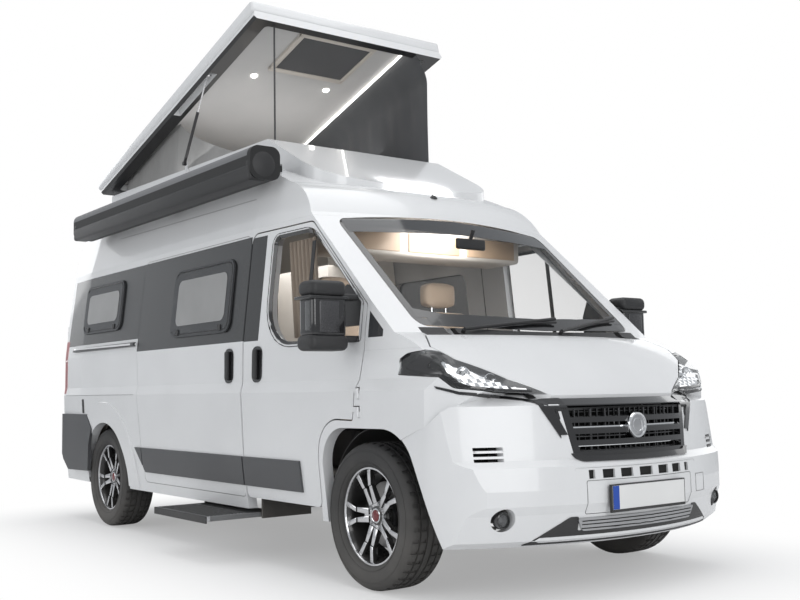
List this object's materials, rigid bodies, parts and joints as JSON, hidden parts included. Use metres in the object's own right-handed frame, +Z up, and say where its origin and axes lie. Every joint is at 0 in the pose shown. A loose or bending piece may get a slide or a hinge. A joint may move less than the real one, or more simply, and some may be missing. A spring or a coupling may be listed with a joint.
{
  "type": "camper van with pop-up roof",
  "caption": "High-roof panel van fitted out as a camper, with a raised pop-up sleeping roof, sliding side door, awning case and pull-out entry step.",
  "frame": {"origin": "on the ground below the middle of the van's length and width, the wheels standing on z = 0", "axes": "+X forward, +Y to the van's left, +Z up"},
  "size_m": [5.413, 2.508, 3.4954],
  "materials": {
    "body_paint": "gloss white two-coat paint",
    "chassis_steel": "satin black frame paint",
    "cast_engine": "cast metal",
    "black_plastic": "grained black plastic",
    "grey_moulding": "dark grey satin plastic",
    "lamp_lens": "clear lamp cover",
    "tail_lens": "red lamp cover",
    "clear_glass": "clear safety glass",
    "dark_glass": "tinted acrylic",
    "awning_black": "satin anthracite coating",
    "dash_plastic": "soft grained plastic",
    "seat_fabric": "woven beige cloth",
    "cabinet_wood": "light wood veneer",
    "tent_cloth": "coated grey tent cloth",
    "strut_steel": "polished steel",
    "step_alloy": "ribbed aluminium",
    "tyre_rubber": "black tyre rubber",
    "alloy_rim": "polished and black light alloy"
  },
  "bodies": {
    "body": {"arch_liners": "black_plastic", "awning_case": "awning_black", "cab_seats": "seat_fabric", "cowl_panel": "black_plastic", "cushions": "seat_fabric", "dashboard": "dash_plastic", "engine_block": "cast_engine", "floor_pan": "chassis_steel", "front_body": "body_paint", "front_bumper": "body_paint", "front_suspension": "chassis_steel", "front_wings": "body_paint", "furniture": "cabinet_wood", "grille": "black_plastic", "head_lamps": "lamp_lens", "rear_axle": "chassis_steel", "rear_bumper": "black_plastic", "roof_cap": "body_paint", "roof_plinth": "body_paint", "side_left": "body_paint", "side_mouldings": "grey_moulding", "side_right": "body_paint", "side_windows": "dark_glass", "sliding_door": "body_paint", "tail_lamps": "tail_lens", "tent_left": "tent_cloth", "tent_right": "tent_cloth", "underfloor_units": "black_plastic", "windscreen": "clear_glass", "wipers": "black_plastic"},
    "cab_door_left": {"cab_door_left": "body_paint", "cab_glass_left": "clear_glass", "mirror_left": "black_plastic"},
    "rear_door_left": {"rear_door_left": "body_paint", "rear_glass_left": "dark_glass"},
    "knuckle_left": {"knuckle_left": "chassis_steel"},
    "cab_door_right": {"cab_door_right": "body_paint", "cab_glass_right": "clear_glass", "mirror_right": "black_plastic"},
    "rear_door_right": {"rear_door_right": "body_paint", "rear_glass_right": "dark_glass"},
    "knuckle_right": {"knuckle_right": "chassis_steel"},
    "bonnet": {"bonnet": "body_paint"},
    "pop_roof": {"pop_roof": "body_paint", "roof_skylight": "dark_glass"},
    "strut_cylinders": {"strut_cylinders": "strut_steel"},
    "strut_rods": {"strut_rods": "strut_steel"},
    "entry_step": {"entry_step": "step_alloy"},
    "steering_wheel": {"steering_wheel": "dash_plastic"},
    "wheel_front_left": {"tyre_front_left": "tyre_rubber", "rim_front_left": "alloy_rim"},
    "wheel_front_right": {"tyre_front_right": "tyre_rubber", "rim_front_right": "alloy_rim"},
    "wheel_rear_left": {"tyre_rear_left": "tyre_rubber", "rim_rear_left": "alloy_rim"},
    "wheel_rear_right": {"tyre_rear_right": "tyre_rubber", "rim_rear_right": "alloy_rim"}
  },
  "joints": [
    {"name": "steer_left", "type": "hinge", "parent": "body", "child": "knuckle_left", "pos_m": [1.7585, 0.8, 0.365], "axis": [0, 0, 1], "range_deg": [-33, 33]},
    {"name": "steer_right", "type": "hinge", "parent": "body", "child": "knuckle_right", "pos_m": [1.7585, -0.8, 0.365], "axis": [0, 0, 1], "range_deg": [-33, 33]},
    {"name": "steering_wheel_turn", "type": "hinge", "parent": "body", "child": "steering_wheel", "pos_m": [1.3035, 0.4, 1.105], "axis": [-0.8988, 0, 0.4384], "range_deg": [-528, 528]},
    {"name": "wheel_front_left_spin", "type": "hinge", "parent": "knuckle_left", "child": "wheel_front_left", "pos_m": [1.7585, 0.87, 0.365], "axis": [0, 1, 0], "continuous": true},
    {"name": "wheel_front_right_spin", "type": "hinge", "parent": "knuckle_right", "child": "wheel_front_right", "pos_m": [1.7585, -0.87, 0.365], "axis": [0, 1, 0], "continuous": true},
    {"name": "wheel_rear_left_spin", "type": "hinge", "parent": "body", "child": "wheel_rear_left", "pos_m": [-1.6915, 0.87, 0.365], "axis": [0, 1, 0], "continuous": true},
    {"name": "wheel_rear_right_spin", "type": "hinge", "parent": "body", "child": "wheel_rear_right", "pos_m": [-1.6915, -0.87, 0.365], "axis": [0, 1, 0], "continuous": true},
    {"name": "cab_door_left_swing", "type": "hinge", "parent": "body", "child": "cab_door_left", "pos_m": [1.7175, 1.006, 1], "axis": [0, 0, -1], "range_deg": [0, 70]},
    {"name": "cab_door_right_swing", "type": "hinge", "parent": "body", "child": "cab_door_right", "pos_m": [1.7175, -1.006, 1], "axis": [0, 0, 1], "range_deg": [0, 70]},
    {"name": "rear_door_left_swing", "type": "hinge", "parent": "body", "child": "rear_door_left", "pos_m": [-2.6505, 0.95, 1.2], "axis": [0, 0, -1], "range_deg": [0, 180]},
    {"name": "rear_door_right_swing", "type": "hinge", "parent": "body", "child": "rear_door_right", "pos_m": [-2.6505, -0.95, 1.2], "axis": [0, 0, 1], "range_deg": [0, 180]},
    {"name": "bonnet_lift", "type": "hinge", "parent": "body", "child": "bonnet", "pos_m": [1.9535, 0, 1.25], "axis": [0, -1, 0], "range_deg": [0, 50]},
    {"name": "pop_roof_lower", "type": "hinge", "parent": "body", "child": "pop_roof", "pos_m": [-2.4015, 0, 2.6], "axis": [0, 1, 0], "range_deg": [0, 16.33], "deforming": ["tent_left", "tent_right"]},
    {"name": "strut_swing", "type": "hinge", "parent": "body", "child": "strut_cylinders", "pos_m": [-0.8915, 0, 2.66], "axis": [0, 1, 0], "range_deg": [-0.5, 55.41]},
    {"name": "strut_slide", "type": "slide", "parent": "strut_cylinders", "child": "strut_rods", "axis": [0.5554, 0, 0.8316], "range_m": [-0.20613, 0.003]},
    {"name": "step_slide", "type": "slide", "parent": "body", "child": "entry_step", "axis": [0, 1, 0], "range_m": [0, 0.25]}
  ],
  "couplings": [
    {"joint": "steer_right", "follows": "steer_left", "ratio": 1},
    {"joint": "steering_wheel_turn", "follows": "steer_left", "ratio": 16},
    {"joint": "strut_swing", "follows": "pop_roof_lower", "ratio": 3.3627},
    {"joint": "strut_slide", "follows": "pop_roof_lower", "m_per_rad": -0.71272}
  ]
}
